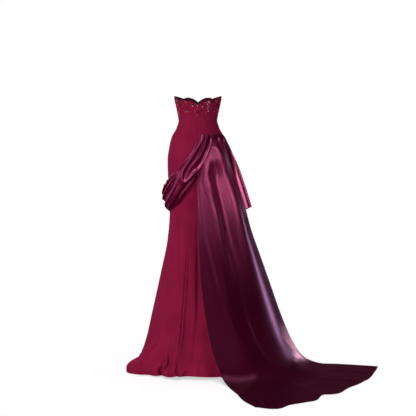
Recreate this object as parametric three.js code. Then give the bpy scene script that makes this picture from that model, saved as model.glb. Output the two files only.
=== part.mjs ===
// A strapless evening gown as it is worn: seven crepe gores run from a scalloped neckline to the floor,
// a pleated satin swag crosses from the right waist round the left hip and back, and a satin train and
// a shorter side cascade fall from the same waist seam. An invisible zip lies behind the centre-back seam.
// Frame: origin at the centre of the waist, +X to the wearer's right, +Y to the front, +Z up, in millimetres.
// Angles are in degrees round the body: 0 is the right side, 90 the front, 180 the left side, 270 the back.
import * as THREE from "three";

const WAIST_TO_FLOOR = 1290;
const FLOOR = -WAIST_TO_FLOOR;
const CREPE = 2; // crepe with its lining
const SATIN = 1.6;
const SEAM = 0.35; // gap between two pieces at a seam
const NECK_TOP = 140; // height where the neckline's own scallops are measured from
const FIXED_BELOW = 50; // gore rows under this height stay level

// Half sizes of the figure and skirt at heights from the waist.
const SECTIONS = [
  { z: 140, left: 123, right: 123, front: 90, back: 88 },
  { z: 105, left: 118, right: 118, front: 98, back: 91 },
  { z: 47, left: 106, right: 106, front: 97, back: 88 },
  { z: 5, left: 100, right: 100, front: 88, back: 84 },
  { z: -30, left: 109, right: 109, front: 89, back: 89 },
  { z: -78, left: 135, right: 135, front: 95, back: 103 },
  { z: -125, left: 147, right: 147, front: 99, back: 117 },
  { z: -200, left: 157, right: 157, front: 101, back: 128 },
  { z: -260, left: 156, right: 156, front: 102, back: 127 },
  { z: -350, left: 151, right: 151, front: 103, back: 120 },
  { z: -468, left: 147, right: 147, front: 107, back: 118 },
  { z: -600, left: 157, right: 157, front: 118, back: 133 },
  { z: -780, left: 190, right: 193, front: 147, back: 160 },
  { z: -1000, left: 235, right: 241, front: 190, back: 196 },
  { z: -1150, left: 270, right: 275, front: 222, back: 225 },
  { z: -1225, left: 302, right: 302, front: 244, back: 239 },
  { z: -1262, left: 352, right: 328, front: 264, back: 249 },
  { z: -1290, left: 346, right: 338, front: 288, back: 256 },
];

// The cups, shaped by the seams on each side of the front.
const BUST = { z: 88, apart: 85, wide: 42, tall: 45, depth: 40 };

// One scallop of the neckline each: its ends' heights and how far it rises between them.
const SCALLOPS = [
  { from: 0, to: 52, start: 129, end: 119, rise: 5 },
  { from: 52, to: 90, start: 119, end: 100, rise: 14 },
  { from: 90, to: 128, start: 100, end: 119, rise: 14 },
  { from: 128, to: 180, start: 119, end: 129, rise: 5 },
  { from: 180, to: 234, start: 117, end: 104, rise: 6 },
  { from: 234, to: 270, start: 104, end: 83, rise: 11 },
  { from: 270, to: 306, start: 83, end: 104, rise: 11 },
  { from: 306, to: 360, start: 104, end: 117, rise: 6 },
];

// Each seam's angle at the neckline and from the waist down. It moves over between the two heights.
const SEAMS = {
  right: { top: 0, low: 0 },
  front_right: { top: 52, low: 62 },
  front_left: { top: 128, low: 118 },
  left: { top: 180, low: 180 },
  back_left: { top: 234, low: 250.5 },
  back: { top: 270, low: 270 },
  back_right: { top: 306, low: 289.5 },
  right_again: { top: 360, low: 360 },
};
const SEAM_BEND = { top: 95, low: -5 };
const GORES = [
  { name: "side_front_right", from: "right", to: "front_right", columns: 12 },
  { name: "front", from: "front_right", to: "front_left", columns: 14 },
  { name: "side_front_left", from: "front_left", to: "left", columns: 12 },
  { name: "side_back_left", from: "left", to: "back_left", columns: 14 },
  { name: "back_left", from: "back_left", to: "back", columns: 7 },
  { name: "back_right", from: "back", to: "back_right", columns: 7 },
  { name: "side_back_right", from: "back_right", to: "right_again", columns: 14 },
];
const GORE_ROWS = [
  140, 122, 104, 86, 68, 50, 28, 5, -18, -45, -80, -125, -185, -260, -350, -468,
  -600, -780, -960, -1110, -1190, -1235, -1265, -1290,
];

// The hem clears the floor at the back, between the floor-length sides.
const HEM_LIFT = { angle: 268, spread: 34, height: 13, begins: -1150 };

const ZIP = { width: 22, top: 78, bottom: -200, wall: 1.2, inset: 1.8, rows: 14 };

// Long soft folds of the skirt: angle, half width in degrees, height outward, and where each begins.
const SKIRT_FOLDS = [
  { angle: 8, spread: 8, height: 9, begins: -560 },
  { angle: 30, spread: 8, height: -8, begins: -620 },
  { angle: 52, spread: 7, height: 10, begins: -520 },
  { angle: 74, spread: 8, height: -8, begins: -640 },
  { angle: 97, spread: 7, height: 9, begins: -560 },
  { angle: 119, spread: 8, height: -8, begins: -600 },
  { angle: 141, spread: 7, height: 9, begins: -540 },
  { angle: 164, spread: 8, height: -8, begins: -600 },
  { angle: 186, spread: 8, height: 7, begins: -560 },
  { angle: 205, spread: 8, height: -8, begins: -500 },
  { angle: 222, spread: 6, height: 8, begins: -450 },
  { angle: 236, spread: 6, height: -7, begins: -600 },
  { angle: 249, spread: 5, height: 9, begins: -560 },
  { angle: 262, spread: 6, height: -6, begins: -700 },
  { angle: 283, spread: 8, height: 7, begins: -640 },
  { angle: 306, spread: 8, height: -8, begins: -600 },
  { angle: 330, spread: 9, height: 8, begins: -560 },
  { angle: 350, spread: 7, height: -7, begins: -600 },
];

// Ripples where the cloth breaks on the floor, in the lowest part of the skirt.
const RIPPLE_HEIGHT = 130;
const HEM_RIPPLES = [
  { angle: 12, spread: 6, height: 13 },
  { angle: 27, spread: 6, height: -13 },
  { angle: 42, spread: 7, height: 15 },
  { angle: 60, spread: 6, height: -14 },
  { angle: 78, spread: 7, height: 13 },
  { angle: 95, spread: 6, height: -12 },
  { angle: 111, spread: 7, height: 15 },
  { angle: 129, spread: 6, height: -14 },
  { angle: 146, spread: 7, height: 14 },
  { angle: 163, spread: 6, height: -12 },
  { angle: 203, spread: 13, height: 54 },
  { angle: 224, spread: 5, height: -14 },
  { angle: 232, spread: 5, height: 8 },
  { angle: 239, spread: 4, height: -13 },
  { angle: 245, spread: 4, height: 12 },
  { angle: 254, spread: 4, height: 8 },
  { angle: 275, spread: 9, height: 6 },
  { angle: 300, spread: 7, height: -12 },
  { angle: 318, spread: 6, height: 13 },
  { angle: 334, spread: 6, height: -13 },
  { angle: 349, spread: 6, height: 12 },
];

// The swag's course from the back of the right waist round the left hip to the front of the right waist.
// Its upper and lower edges are given by angle, height and how far each stands off the gores.
const SWAG_COURSE = [
  { upAngle: 274, upZ: -63, upOut: 2.8, lowAngle: 306, lowZ: -63, lowOut: 6, lift: 2 },
  { upAngle: 270, upZ: -95, upOut: 4, lowAngle: 301.5, lowZ: -106, lowOut: 9, lift: 7 },
  { upAngle: 264, upZ: -126, upOut: 4, lowAngle: 293.5, lowZ: -150, lowOut: 11, lift: 9 },
  { upAngle: 256, upZ: -164, upOut: 4, lowAngle: 285, lowZ: -195, lowOut: 12, lift: 11 },
  { upAngle: 246, upZ: -200, upOut: 4, lowAngle: 275, lowZ: -243, lowOut: 12, lift: 12 },
  { upAngle: 233, upZ: -234, upOut: 4, lowAngle: 266, lowZ: -302, lowOut: 9, lift: 14 },
  { upAngle: 215, upZ: -272, upOut: 4, lowAngle: 247, lowZ: -367, lowOut: 6, lift: 19 },
  { upAngle: 196, upZ: -295, upOut: 4, lowAngle: 224, lowZ: -432, lowOut: 5, lift: 24 },
  { upAngle: 176, upZ: -302, upOut: 4, lowAngle: 190, lowZ: -458, lowOut: 5, lift: 27 },
  { upAngle: 155, upZ: -292, upOut: 4, lowAngle: 160, lowZ: -450, lowOut: 5, lift: 24 },
  { upAngle: 135, upZ: -268, upOut: 4, lowAngle: 134, lowZ: -412, lowOut: 5, lift: 21 },
  { upAngle: 117, upZ: -230, upOut: 4, lowAngle: 111, lowZ: -352, lowOut: 5, lift: 18 },
  { upAngle: 104, upZ: -182, upOut: 4, lowAngle: 91, lowZ: -272, lowOut: 5, lift: 14 },
  { upAngle: 94, upZ: -124, upOut: 4, lowAngle: 75, lowZ: -172, lowOut: 5, lift: 10 },
  { upAngle: 86, upZ: -63, upOut: 2.8, lowAngle: 62, lowZ: -64, lowOut: 5, lift: 2 },
];
const SWAG_TURN = 8; // the row at the left hip, where the back and front stretches meet

// Pleats along the swag: place and half width as shares of its width, height as a share of it too.
const SWAG_PLEATS = [
  { at: 0.05, wide: 0.045, high: 0.06 },
  { at: 0.2, wide: 0.05, high: 0.075 },
  { at: 0.36, wide: 0.055, high: 0.08 },
  { at: 0.53, wide: 0.055, high: 0.08 },
  { at: 0.71, wide: 0.055, high: 0.075 },
  { at: 0.9, wide: 0.05, high: 0.055 },
];

// Level sections of the train, from the waist seam down and then out over the floor. Each runs from its
// left edge to its right edge and bulges away from the body between them; fold scales the folds there.
const TRAIN_LEVELS = [
  { z: -64, leftX: 76.5, leftY: -82.5, rightX: 130.5, rightY: -8, bulge: 15, fold: 0.04 },
  { z: -100, leftX: 66, leftY: -103, rightX: 146, rightY: -7, bulge: 22, fold: 0.08 },
  { z: -140, leftX: 50, leftY: -118.5, rightX: 155, rightY: -6, bulge: 28, fold: 0.12 },
  { z: -200, leftX: 22, leftY: -132.5, rightX: 167, rightY: -4, bulge: 38, fold: 0.22 },
  { z: -290, leftX: -4, leftY: -129, rightX: 193, rightY: 0, bulge: 45, fold: 0.45 },
  { z: -430, leftX: -2, leftY: -150, rightX: 242, rightY: 4, bulge: 62, fold: 0.75 },
  { z: -560, leftX: 0, leftY: -162, rightX: 276, rightY: 8, bulge: 78, fold: 0.9 },
  { z: -700, leftX: 6, leftY: -181, rightX: 325, rightY: 14, bulge: 92, fold: 1 },
  { z: -850, leftX: 19, leftY: -206, rightX: 378, rightY: 25, bulge: 108, fold: 1 },
  { z: -1025, leftX: 45, leftY: -243, rightX: 440, rightY: 42, bulge: 128, fold: 1 },
  { z: -1150, leftX: 74, leftY: -277, rightX: 494, rightY: 56, bulge: 145, fold: 0.9 },
  { z: -1235, leftX: 107, leftY: -312, rightX: 547, rightY: 70, bulge: 160, fold: 0.7 },
  { z: -1279, leftX: 142, leftY: -380, rightX: 614, rightY: 82, bulge: 172, fold: 0.4 },
  { z: -1290, leftX: 178, leftY: -486, rightX: 706, rightY: 78, bulge: 166, fold: 0.25 },
  { z: -1290, leftX: 216, leftY: -632, rightX: 826, rightY: 54, bulge: 148, fold: 0.18 },
  { z: -1290, leftX: 276, leftY: -756, rightX: 951, rightY: 18, bulge: 126, fold: 0.12 },
  { z: -1290, leftX: 336, leftY: -880, rightX: 1076, rightY: -18, bulge: 100, fold: 0.08 },
];
const TRAIN_FOLDS = [
  { at: 0.04, wide: 0.04, high: -2 },
  { at: 0.2, wide: 0.11, high: 8 },
  { at: 0.42, wide: 0.12, high: -8 },
  { at: 0.68, wide: 0.13, high: 14 },
  { at: 0.96, wide: 0.06, high: 5 },
];

// Waves of the train's edge on the floor: how many levels it runs past the last level but one.
const TRAIN_EDGE = [
  { at: 0, wide: 0.025, high: -0.2 },
  { at: 0.075, wide: 0.055, high: 0.32 },
  { at: 0.19, wide: 0.05, high: 0.12 },
  { at: 0.27, wide: 0.05, high: 0.2 },
  { at: 0.36, wide: 0.045, high: -0.2 },
  { at: 0.44, wide: 0.05, high: 0.12 },
  { at: 0.56, wide: 0.06, high: -0.08 },
  { at: 0.75, wide: 0.08, high: 0.06 },
];

// Sections of the side cascade. Its rear edge hangs lower than its front edge.
const CASCADE_LEVELS = [
  { rearZ: -64, frontZ: -64, rearX: 131, rearY: 6.5, frontX: 81, frontY: 76, bulge: 15, fold: 0.02 },
  { rearZ: -150, frontZ: -118, rearX: 169, rearY: 14, frontX: 84, frontY: 99, bulge: 32, fold: 0.12 },
  { rearZ: -221, frontZ: -182, rearX: 199, rearY: 20, frontX: 98, frontY: 106, bulge: 38, fold: 0.6 },
  { rearZ: -293, frontZ: -250, rearX: 222, rearY: 26, frontX: 112, frontY: 113, bulge: 45, fold: 0.9 },
  { rearZ: -365, frontZ: -330, rearX: 245, rearY: 31, frontX: 127, frontY: 121, bulge: 51, fold: 1 },
  { rearZ: -454, frontZ: -436, rearX: 272, rearY: 38, frontX: 152, frontY: 130, bulge: 58, fold: 1 },
];
const CASCADE_FOLDS = [
  { at: 0.0, wide: 0.09, high: -28 },
  { at: 0.17, wide: 0.07, high: 14 },
  { at: 0.34, wide: 0.08, high: -14 },
  { at: 0.55, wide: 0.09, high: 15 },
  { at: 0.77, wide: 0.08, high: -13 },
  { at: 0.96, wide: 0.06, high: 7 },
];

const radians = THREE.MathUtils.degToRad;
const lerp = THREE.MathUtils.lerp;
const bell = (distance, spread) => Math.exp(-((distance / spread) ** 2));
const ease = THREE.MathUtils.smoothstep;

// Angle between two directions round the body, from -180 to 180 degrees.
const turnBetween = (a, b) => THREE.MathUtils.euclideanModulo(a - b + 180, 360) - 180;

// A smooth curve through (keys, values), keys rising, that never overshoots its values.
function smoothThrough(keys, values, x) {
  const last = keys.length - 1;
  if (x <= keys[0]) return values[0];
  if (x >= keys[last]) return values[last];
  const slope = (i) => (values[i + 1] - values[i]) / (keys[i + 1] - keys[i]);
  const tangent = (i) => {
    if (i === 0) return slope(0);
    if (i === last) return slope(last - 1);
    const before = slope(i - 1);
    const after = slope(i);
    return before * after <= 0 ? 0 : (2 * before * after) / (before + after);
  };
  const i = keys.findIndex((key) => key > x) - 1;
  const h = keys[i + 1] - keys[i];
  const t = (x - keys[i]) / h;
  const [t2, t3] = [t * t, t * t * t];
  return (
    (2 * t3 - 3 * t2 + 1) * values[i] +
    (t3 - 2 * t2 + t) * h * tangent(i) +
    (3 * t2 - 2 * t3) * values[i + 1] +
    (t3 - t2) * h * tangent(i + 1)
  );
}

// One row of a table at a place between its rows, which are counted from 0.
function rowAt(table, place) {
  const keys = table.map((_, i) => i);
  const row = {};
  for (const column of Object.keys(table[0]))
    row[column] = smoothThrough(keys, table.map((r) => r[column]), place);
  return row;
}

const SECTIONS_UP = [...SECTIONS].reverse();
const SECTION_HEIGHTS = SECTIONS_UP.map((s) => s.z);
const sectionSize = (column, z) =>
  smoothThrough(SECTION_HEIGHTS, SECTIONS_UP.map((s) => s[column]), z);

// The gown's outer surface at an angle and height, moved out by a distance square to it in plan.
function gownPoint(angle, z, out = 0) {
  const [c, s] = [Math.cos(radians(angle)), Math.sin(radians(angle))];
  const side = sectionSize(c > 0 ? "right" : "left", z);
  const depth = sectionSize(s > 0 ? "front" : "back", z);
  const away = new THREE.Vector2(c / side, s / depth).normalize();
  const x = side * c;
  const cup = BUST.depth * bell(Math.abs(x) - BUST.apart, BUST.wide) * bell(z - BUST.z, BUST.tall);
  const moved = out + skirtFold(angle, z);
  return new THREE.Vector3(x + away.x * moved, depth * s + Math.max(s, 0) * cup + away.y * moved, z);
}

function skirtFold(angle, z) {
  let height = 0;
  for (const fold of SKIRT_FOLDS) {
    const grown = ease(fold.begins - z, 0, fold.begins - FLOOR);
    height += fold.height * grown * bell(turnBetween(angle, fold.angle), fold.spread);
  }
  const broken = ease(FLOOR + RIPPLE_HEIGHT - z, 0, RIPPLE_HEIGHT);
  for (const ripple of HEM_RIPPLES)
    height += ripple.height * broken * bell(turnBetween(angle, ripple.angle), ripple.spread);
  return height;
}

function necklineHeight(angle) {
  const place = THREE.MathUtils.euclideanModulo(angle, 360);
  const scallop = SCALLOPS.find((s) => place >= s.from && place <= s.to);
  const t = (place - scallop.from) / (scallop.to - scallop.from);
  return lerp(scallop.start, scallop.end, t) + scallop.rise * Math.sin(Math.PI * t) ** 0.8;
}

// Rows above FIXED_BELOW are squeezed under the neckline, so that the top row is the scalloped edge,
// and the lowest rows follow the hem.
function goreHeight(angle, level) {
  if (level <= FIXED_BELOW) {
    const lifted = HEM_LIFT.height * bell(turnBetween(angle, HEM_LIFT.angle), HEM_LIFT.spread);
    const share = ease(HEM_LIFT.begins - level, 0, HEM_LIFT.begins - FLOOR);
    return Math.max(level, FLOOR + CREPE) + lifted * share;
  }
  const share = (level - FIXED_BELOW) / (NECK_TOP - FIXED_BELOW);
  return lerp(FIXED_BELOW, necklineHeight(angle), share);
}

const seamAngle = (seam, level) => lerp(seam.low, seam.top, ease(level, SEAM_BEND.low, SEAM_BEND.top));

const foldsAt = (folds, across) =>
  folds.reduce((sum, f) => sum + f.high * bell(across - f.at, f.wide), 0);

// A point on a level section that runs from one edge to the other and bulges out between them.
function sectionPoint(start, end, bulge, across) {
  const outward = new THREE.Vector3(end.y - start.y, start.x - end.x, 0).normalize();
  const middle = start.clone().lerp(end, 0.5).addScaledVector(outward, 2 * bulge);
  return new THREE.QuadraticBezierCurve3(start, middle, end).getPoint(across);
}

// Moves a surface out along its own normal by a height that depends on the same two shares.
const raised = (surface, height) => (u, v) =>
  surface(u, v).addScaledVector(normalOf(surface, u, v), height(u, v));

function normalOf(surface, u, v) {
  const step = 0.002;
  const along = surface(u + step, v).sub(surface(u - step, v));
  const down = surface(u, v + step).sub(surface(u, v - step));
  return down.cross(along).normalize();
}

// A closed wall: the surface's own points outside, and the same points moved in by its thickness.
// Both shares run from 0 to 1, with u to the right and v down as seen from outside.
function wall(name, surface, uShares, vShares, thickness, material) {
  const positions = [];
  const count = uShares.length * vShares.length;
  const outer = (i, j) => i * vShares.length + j;
  const inner = (i, j) => count + outer(i, j);
  for (const inward of [0, thickness])
    for (const u of uShares)
      for (const v of vShares) {
        const point = surface(u, v).addScaledVector(normalOf(surface, u, v), -inward);
        point.z = Math.max(point.z, FLOOR);
        positions.push(point.x, point.y, point.z);
      }
  const faces = [];
  const quad = (a, b, c, d) => faces.push(a, b, c, a, c, d);
  const [lastU, lastV] = [uShares.length - 1, vShares.length - 1];
  for (let i = 0; i < lastU; i++)
    for (let j = 0; j < lastV; j++) {
      quad(outer(i, j), outer(i, j + 1), outer(i + 1, j + 1), outer(i + 1, j));
      quad(inner(i, j), inner(i + 1, j), inner(i + 1, j + 1), inner(i, j + 1));
    }
  for (let i = 0; i < lastU; i++) {
    quad(outer(i, 0), outer(i + 1, 0), inner(i + 1, 0), inner(i, 0));
    quad(outer(i + 1, lastV), outer(i, lastV), inner(i, lastV), inner(i + 1, lastV));
  }
  for (let j = 0; j < lastV; j++) {
    quad(outer(0, j + 1), outer(0, j), inner(0, j), inner(0, j + 1));
    quad(outer(lastU, j + 1), inner(lastU, j + 1), inner(lastU, j), outer(lastU, j));
  }
  const geometry = new THREE.BufferGeometry();
  geometry.setAttribute("position", new THREE.Float32BufferAttribute(positions, 3));
  geometry.setIndex(faces);
  geometry.computeVertexNormals();
  const mesh = new THREE.Mesh(geometry, material);
  mesh.name = name;
  return mesh;
}

const shares = (steps) => Array.from({ length: steps + 1 }, (_, i) => i / steps);

const crepe = new THREE.MeshStandardMaterial({ name: "crepe", color: 0x7c1234, roughness: 0.75 });
const satin = new THREE.MeshStandardMaterial({ name: "satin", color: 0x6d0f35, roughness: 0.3 });
const tape = new THREE.MeshStandardMaterial({ name: "zip_tape", color: 0x5a0c26, roughness: 0.8 });

// A gore from the neckline to the hem. Seen from outside, angles rise to the right.
function gore({ name, from, to, columns }) {
  const rowPlaces = GORE_ROWS.map((_, i) => i);
  const surface = (u, v) => {
    const level = smoothThrough(rowPlaces, GORE_ROWS, v * (GORE_ROWS.length - 1));
    const waist = Math.min(sectionSize("left", level), sectionSize("back", level));
    const gap = THREE.MathUtils.radToDeg(SEAM / 2 / waist);
    const angle = lerp(seamAngle(SEAMS[from], level) + gap, seamAngle(SEAMS[to], level) - gap, u);
    return gownPoint(angle, goreHeight(angle, level));
  };
  return wall(name, surface, shares(columns), shares(GORE_ROWS.length - 1), CREPE, crepe);
}

function backZip() {
  const surface = (u, v) => {
    const z = lerp(ZIP.top, ZIP.bottom, v);
    const aside = THREE.MathUtils.radToDeg((ZIP.width * (u - 0.5)) / sectionSize("left", z));
    return gownPoint(270 + aside, z, -CREPE - ZIP.inset);
  };
  return wall("back_zip", surface, shares(4), shares(ZIP.rows), ZIP.wall, tape);
}

// A stretch of the swag between two rows of its course, with its pleats running along it.
function swagStretch(name, startRow, endRow, rows) {
  const surface = (u, v) => {
    const place = lerp(startRow, endRow, u);
    const course = rowAt(SWAG_COURSE, place);
    const angle = lerp(course.upAngle, course.lowAngle, v);
    const z = lerp(course.upZ, course.lowZ, v);
    const up = gownPoint(course.upAngle, course.upZ);
    const width = up.distanceTo(gownPoint(course.lowAngle, course.lowZ));
    const pleat = width * SWAG_PLEATS.reduce((sum, p) => sum + p.high * bell(v - p.at, p.wide), 0);
    const lift = course.lift * 4 * v * (1 - v);
    return gownPoint(angle, z, lerp(course.upOut, course.lowOut, v) + lift + pleat);
  };
  return wall(name, surface, shares(rows), shares(28), SATIN, satin);
}

function train() {
  const last = TRAIN_LEVELS.length - 2;
  const levelAt = (u, v) => {
    const wave = ease(v, 0.8, 1) * foldsAt(TRAIN_EDGE, u);
    return rowAt(TRAIN_LEVELS, v * last + wave);
  };
  const sheet = (u, v) => {
    const level = levelAt(u, v);
    const z = Math.max(level.z, FLOOR + SATIN);
    const left = new THREE.Vector3(level.leftX, level.leftY, z);
    const right = new THREE.Vector3(level.rightX, level.rightY, z);
    return sectionPoint(left, right, level.bulge, u);
  };
  const folds = (u, v) => {
    const level = levelAt(u, v);
    const flat = ease(FLOOR + 60 - level.z, 0, 60);
    const high = level.fold * foldsAt(TRAIN_FOLDS, u);
    return lerp(high, Math.max(high, 0), flat);
  };
  return wall("train", raised(sheet, folds), shares(26), shares(2 * last), SATIN, satin);
}

function cascade() {
  const last = CASCADE_LEVELS.length - 1;
  const sheet = (u, v) => {
    const level = rowAt(CASCADE_LEVELS, v * last);
    const rear = new THREE.Vector3(level.rearX, level.rearY, level.rearZ);
    const front = new THREE.Vector3(level.frontX, level.frontY, level.frontZ);
    return sectionPoint(rear, front, level.bulge, u);
  };
  const folds = (u, v) => rowAt(CASCADE_LEVELS, v * last).fold * foldsAt(CASCADE_FOLDS, u);
  return wall("side_cascade", raised(sheet, folds), shares(18), shares(10), SATIN, satin);
}

const gown = new THREE.Group();
gown.name = "gown";
for (const row of GORES) gown.add(gore(row));
gown.add(backZip());
gown.add(swagStretch("swag_back", 0, SWAG_TURN - 0.003, 18));
gown.add(swagStretch("swag_front", SWAG_TURN + 0.003, SWAG_COURSE.length - 1, 14));
gown.add(train());
gown.add(cascade());

export default gown;
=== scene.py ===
"""Looks of a strapless beaded evening gown as it is worn.

Each piece is a thin sheet on the form of its solid. Lengths are in millimetres and angles in degrees
round the body (0 right, 90 front, 180 left, 270 back) until the meshes are made in metres.
"""

import math
import random

import bpy
import numpy as np
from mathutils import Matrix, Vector


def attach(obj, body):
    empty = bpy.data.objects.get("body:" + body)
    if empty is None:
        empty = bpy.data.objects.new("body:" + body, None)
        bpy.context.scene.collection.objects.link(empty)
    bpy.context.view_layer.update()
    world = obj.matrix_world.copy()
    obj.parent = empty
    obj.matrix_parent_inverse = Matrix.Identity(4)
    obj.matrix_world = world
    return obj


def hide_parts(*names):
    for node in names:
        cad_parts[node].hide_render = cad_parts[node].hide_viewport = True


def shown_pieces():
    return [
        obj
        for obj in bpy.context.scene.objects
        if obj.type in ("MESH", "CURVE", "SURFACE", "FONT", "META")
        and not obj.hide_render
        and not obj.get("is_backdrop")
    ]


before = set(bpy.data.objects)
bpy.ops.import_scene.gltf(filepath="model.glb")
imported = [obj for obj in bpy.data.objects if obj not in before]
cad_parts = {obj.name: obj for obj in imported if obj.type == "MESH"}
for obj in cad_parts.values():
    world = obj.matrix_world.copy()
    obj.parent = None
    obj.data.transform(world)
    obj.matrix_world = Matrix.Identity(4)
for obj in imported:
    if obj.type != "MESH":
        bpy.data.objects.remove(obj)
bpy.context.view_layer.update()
draw = random.Random(7)

# ---------------- sizes

FLOOR = -1290
CREPE = 2  # the solids' walls
SATIN = 1.6
SHEET_SHARE = 0.6  # a sheet's thickness as a share of its solid's wall
NECK_TOP = 140
FIXED_BELOW = 50  # the neckline squeezes the rows above this height


def table(columns, *rows):
    """Named columns, each an array with one number for every row."""
    return dict(zip(columns.split(), np.array(rows, float).T))


# Half widths and depths of the level sections.
SECTIONS = table(
    "z left right front back",
    (140, 123, 123, 90, 88),
    (105, 118, 118, 98, 91),
    (47, 106, 106, 97, 88),
    (5, 100, 100, 88, 84),
    (-30, 109, 109, 89, 89),
    (-78, 135, 135, 95, 103),
    (-125, 147, 147, 99, 117),
    (-200, 157, 157, 101, 128),
    (-260, 156, 156, 102, 127),
    (-350, 151, 151, 103, 120),
    (-468, 147, 147, 107, 118),
    (-600, 157, 157, 118, 133),
    (-780, 190, 193, 147, 160),
    (-1000, 235, 241, 190, 196),
    (-1150, 270, 275, 222, 225),
    (-1225, 302, 302, 244, 239),
    (-1262, 352, 328, 264, 249),
    (-1290, 346, 338, 288, 256),
)
BUST = {"z": 88, "apart": 85, "wide": 42, "tall": 45, "depth": 40}
SCALLOP_ROUNDNESS = 0.8
SCALLOPS = table(
    "start end from_z to_z rise",
    (0, 52, 129, 119, 5),
    (52, 90, 119, 100, 14),
    (90, 128, 100, 119, 14),
    (128, 180, 119, 129, 5),
    (180, 234, 117, 104, 6),
    (234, 270, 104, 83, 11),
    (270, 306, 83, 104, 11),
    (306, 360, 104, 117, 6),
)
# Angles of the seams round the bodice and round the skirt, and the heights between which they turn.
SEAMS = ((0, 0), (52, 62), (128, 118), (180, 180), (234, 250.5), (270, 270), (306, 289.5), (360, 360))
SEAM_BEND = (-5, 95)
# The gores from seam to seam, with the columns of their meshes.
GORES = {
    "side_front_right": 46, "front": 54, "side_front_left": 46, "side_back_left": 60,
    "back_left": 34, "back_right": 34, "side_back_right": 60,
}
HEM_LIFT = {"angle": 268, "spread": 34, "height": 13, "begins": -1150}
SKIRT_FOLDS = table(
    "angle spread height begins",
    (8, 8, 9, -560), (30, 8, -8, -620), (52, 7, 10, -520), (74, 8, -8, -640), (97, 7, 9, -560),
    (119, 8, -8, -600), (141, 7, 9, -540), (164, 8, -8, -600), (186, 8, 7, -560),
    (205, 8, -8, -500), (222, 6, 8, -450), (236, 6, -7, -600), (249, 5, 9, -560),
    (262, 6, -6, -700), (283, 8, 7, -640), (306, 8, -8, -600), (330, 9, 8, -560),
    (350, 7, -7, -600),
)
RIPPLE_HEIGHT = 130  # of the folds that break on the floor
HEM_RIPPLES = table(
    "angle spread height",
    (12, 6, 13), (27, 6, -13), (42, 7, 15), (60, 6, -14), (78, 7, 13), (95, 6, -12), (111, 7, 15),
    (129, 6, -14), (146, 7, 14), (163, 6, -12), (203, 13, 54), (224, 5, -14), (232, 5, 8),
    (239, 4, -13), (245, 4, 12), (254, 4, 8), (275, 9, 6), (300, 7, -12), (318, 6, 13),
    (334, 6, -13), (349, 6, 12),
)
# The swag's bed from the back of the right waist round the left hip: its two edges and its lift between.
SWAG_COURSE = table(
    "up_angle up_z up_out low_angle low_z low_out lift",
    (274, -63, 2.8, 306, -63, 6, 2),
    (270, -95, 4, 301.5, -106, 9, 7),
    (264, -126, 4, 293.5, -150, 11, 9),
    (256, -164, 4, 285, -195, 12, 11),
    (246, -200, 4, 275, -243, 12, 12),
    (233, -234, 4, 266, -302, 9, 14),
    (215, -272, 4, 247, -367, 6, 19),
    (196, -295, 4, 224, -432, 5, 24),
    (176, -302, 4, 190, -458, 5, 27),
    (155, -292, 4, 160, -450, 5, 24),
    (135, -268, 4, 134, -412, 5, 21),
    (117, -230, 4, 111, -352, 5, 18),
    (104, -182, 4, 91, -272, 5, 14),
    (94, -124, 4, 75, -172, 5, 10),
    (86, -63, 2.8, 62, -64, 5, 2),
)
# Sections of the train and the cascade: the ends, the bulge between them and the share of the folds.
TRAIN_LEVELS = table(
    "z left_x left_y right_x right_y bulge fold",
    (-64, 76.5, -82.5, 130.5, -8, 15, 0.04),
    (-100, 66, -103, 146, -7, 22, 0.08),
    (-140, 50, -118.5, 155, -6, 28, 0.12),
    (-200, 22, -132.5, 167, -4, 38, 0.22),
    (-290, -4, -129, 193, 0, 45, 0.45),
    (-430, -2, -150, 242, 4, 62, 0.75),
    (-560, 0, -162, 276, 8, 78, 0.9),
    (-700, 6, -181, 325, 14, 92, 1),
    (-850, 19, -206, 378, 25, 108, 1),
    (-1025, 45, -243, 440, 42, 128, 1),
    (-1150, 74, -277, 494, 56, 145, 0.9),
    (-1235, 107, -312, 547, 70, 160, 0.7),
    (-1279, 142, -380, 614, 82, 172, 0.4),
    (-1290, 178, -486, 706, 78, 166, 0.25),
    (-1290, 216, -632, 826, 54, 148, 0.18),
    (-1290, 276, -756, 951, 18, 126, 0.12),
    (-1290, 336, -880, 1076, -18, 100, 0.08),
)
# Waves of the train's far edge, in rows of the table above.
TRAIN_EDGE = table(
    "at wide high",
    (0, 0.025, -0.2), (0.075, 0.055, 0.32), (0.19, 0.05, 0.12), (0.27, 0.05, 0.2),
    (0.36, 0.045, -0.2), (0.44, 0.05, 0.12), (0.56, 0.06, -0.08), (0.75, 0.08, 0.06),
)
CASCADE_LEVELS = table(
    "left_z right_z left_x left_y right_x right_y bulge fold",
    (-64, -64, 131, 6.5, 81, 76, 15, 0.02),
    (-150, -118, 169, 14, 84, 99, 32, 0.12),
    (-221, -182, 199, 20, 98, 106, 38, 0.6),
    (-293, -250, 222, 26, 112, 113, 45, 0.9),
    (-365, -330, 245, 31, 127, 121, 51, 1),
    (-454, -436, 272, 38, 152, 130, 58, 1),
)
TRAIN_FOLDS = table(
    "at wide high",
    (0.04, 0.04, -2), (0.2, 0.11, 6), (0.42, 0.12, -5), (0.68, 0.13, 11), (0.96, 0.06, 3),
)
CASCADE_FOLDS = table(
    "at wide high",
    (0, 0.09, -28), (0.17, 0.07, 14), (0.34, 0.08, -14), (0.55, 0.09, 15), (0.77, 0.08, -13),
    (0.96, 0.06, 7),
)

# ---------------- the gown's form


def unit(vectors):
    return vectors / np.maximum(np.linalg.norm(vectors, axis=-1, keepdims=True), 1e-9)


def bell(distance, spread):
    return np.exp(-((distance / spread) ** 2))


def ease(x, low, high):
    t = np.clip((x - low) / (high - low), 0, 1)
    return t * t * (3 - 2 * t)


def lerp(a, b, t):
    return a + (b - a) * t


def turn_between(a, b):
    """Degrees from b to a, the shorter way round."""
    return (a - b + 180) % 360 - 180


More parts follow.
